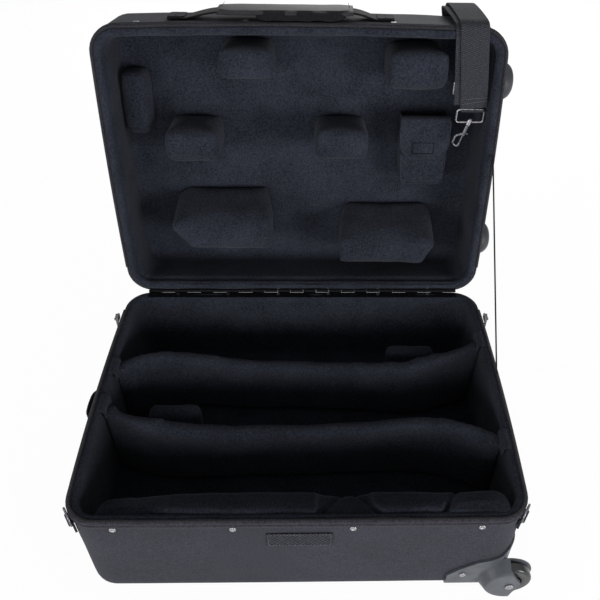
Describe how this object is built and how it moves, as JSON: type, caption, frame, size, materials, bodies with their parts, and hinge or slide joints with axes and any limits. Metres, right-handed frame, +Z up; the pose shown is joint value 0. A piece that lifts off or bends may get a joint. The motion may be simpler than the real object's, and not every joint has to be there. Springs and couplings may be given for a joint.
{
  "type": "trumpet case",
  "caption": "Soft-sided trumpet case on wheels, standing open, with a padded hinged lid, dividers, accessory pouch, carry handle and shoulder strap.",
  "frame": {"origin": "on the floor under the middle of the base", "axes": "+X towards the wheel end, +Y towards the hinge, +Z up"},
  "size_m": [0.5901, 0.586, 0.5778],
  "materials": {
    "shell_board": "stiff moulded board inside the walls",
    "nylon": "woven nylon cloth, dark grey",
    "plush": "short napped plush, blue black",
    "foam": "foam under the lining",
    "zipper": "zipper tape and piping, black",
    "patch": "stitched label patch, left bare",
    "nickel": "nickel plate",
    "dark_steel": "black plated wire and sheet",
    "webbing": "woven webbing, black",
    "grip_fabric": "padded cloth wrap with light stitching",
    "moulding": "moulded plastic, mid grey",
    "grip_plastic": "moulded plastic, black",
    "tyre": "smooth black tread",
    "tube": "drawn tube, satin"
  },
  "bodies": {
    "base": {"base_frame": "shell_board", "base_cover": "nylon", "base_lining": "plush", "floor_pad": "foam", "front_cushion": "plush", "front_divider": "plush", "back_divider": "plush", "middle_rest_pad": "plush", "back_rest_pad": "plush", "base_zipper": "zipper", "base_rivets": "nickel", "label_patch": "patch", "ring_tabs": "webbing", "end_handle": "webbing", "end_handle_rivets": "nickel", "wheel_housing_front": "moulding", "wheel_housing_back": "moulding", "axle_bolts": "nickel", "housing_screws": "nickel", "base_feet": "moulding", "trolley_outer_tubes": "tube", "trolley_bracket": "moulding", "trolley_tray": "moulding", "hinge_base_leaf": "dark_steel", "hinge_pin": "dark_steel", "lid_stay": "webbing"},
    "front_wheel": {"front_wheel_hub": "grip_plastic", "front_wheel_tyre": "tyre"},
    "back_wheel": {"back_wheel_hub": "grip_plastic", "back_wheel_tyre": "tyre"},
    "trolley_middle": {"trolley_middle_tubes": "tube"},
    "trolley_inner": {"trolley_inner_tubes": "tube", "trolley_grip": "grip_plastic"},
    "trolley_button": {"trolley_button": "grip_plastic"},
    "left_ring": {"left_ring": "dark_steel"},
    "right_ring": {"right_ring": "dark_steel"},
    "left_slider": {"left_zipper_slider": "nickel"},
    "left_pull": {"left_zipper_pull": "nickel"},
    "right_slider": {"right_zipper_slider": "nickel"},
    "right_pull": {"right_zipper_pull": "nickel"},
    "lid": {"lid_frame": "shell_board", "lid_cover": "nylon", "lid_lining": "plush", "lid_pads": "plush", "left_lid_pad": "plush", "right_lid_pad": "plush", "lid_zipper": "zipper", "hinge_lid_leaf": "dark_steel", "lid_rivets": "nickel", "lid_feet": "moulding", "outer_pocket": "nylon", "accessory_pouch": "plush", "handle_mounts": "webbing", "carry_handle": "webbing", "shoulder_strap": "webbing", "strap_loops": "dark_steel"},
    "handle": {"handle_wrap": "grip_fabric"},
    "pouch_flap": {"pouch_flap": "plush"},
    "hook": {"hook_body": "dark_steel"},
    "hook_bolt": {"hook_bolt": "dark_steel"}
  },
  "joints": [
    {"name": "lid_hinge", "type": "hinge", "parent": "base", "child": "lid", "pos_m": [0, 0.195, 0.1735], "axis": [1, 0, 0], "range_deg": [0, 100], "deforming": ["lid_stay", "shoulder_strap"]},
    {"name": "front_wheel_spin", "type": "hinge", "parent": "base", "child": "front_wheel", "pos_m": [0.266, -0.19625, 0.03], "axis": [0, 1, 0], "continuous": true},
    {"name": "back_wheel_spin", "type": "hinge", "parent": "base", "child": "back_wheel", "pos_m": [0.266, 0.19625, 0.03], "axis": [0, 1, 0], "continuous": true},
    {"name": "trolley_lower_slide", "type": "slide", "parent": "base", "child": "trolley_middle", "axis": [-1, 0, 0], "range_m": [0, 0.225]},
    {"name": "trolley_upper_slide", "type": "slide", "parent": "trolley_middle", "child": "trolley_inner", "axis": [-1, 0, 0], "range_m": [0, 0.225]},
    {"name": "button_press", "type": "slide", "parent": "trolley_inner", "child": "trolley_button", "axis": [1, 0, 0], "range_m": [0, 0.003], "stiffness_N_per_m": 300},
    {"name": "left_ring_swing", "type": "hinge", "parent": "base", "child": "left_ring", "pos_m": [-0.26616, -0.18204, 0.1555], "axis": [0.5592, -0.829, 0], "range_deg": [0, 150]},
    {"name": "right_ring_swing", "type": "hinge", "parent": "base", "child": "right_ring", "pos_m": [0.26616, -0.18204, 0.1555], "axis": [0.5592, 0.829, 0], "range_deg": [0, 150]},
    {"name": "left_slider_slide", "type": "slide", "parent": "base", "child": "left_slider", "axis": [0, -1, 0], "range_m": [0, 0.285]},
    {"name": "right_slider_slide", "type": "slide", "parent": "base", "child": "right_slider", "axis": [0, -1, 0], "range_m": [0, 0.285]},
    {"name": "left_pull_swing", "type": "hinge", "parent": "left_slider", "child": "left_pull", "pos_m": [-0.2788, 0.138, 0.172], "axis": [0, 1, 0], "range_deg": [0, 110]},
    {"name": "right_pull_swing", "type": "hinge", "parent": "right_slider", "child": "right_pull", "pos_m": [0.2788, 0.138, 0.172], "axis": [0, -1, 0], "range_deg": [0, 110]},
    {"name": "handle_lift", "type": "slide", "parent": "lid", "child": "handle", "axis": [0, 0.1736, 0.9848], "range_m": [0, 0.018], "stiffness_N_per_m": 40, "deforming": ["carry_handle"]},
    {"name": "flap_hinge", "type": "hinge", "parent": "lid", "child": "pouch_flap", "pos_m": [0.1775, 0.3212, 0.42277], "axis": [-1, 0, 0], "range_deg": [0, 40]},
    {"name": "hook_swivel", "type": "hinge", "parent": "lid", "child": "hook", "pos_m": [0.2325, 0.2585, 0.432], "axis": [0.2756, 0, 0.9613], "continuous": true},
    {"name": "bolt_slide", "type": "slide", "parent": "hook", "child": "hook_bolt", "axis": [0.2756, 0, 0.9613], "range_m": [0, 0.008], "stiffness_N_per_m": 80}
  ]
}
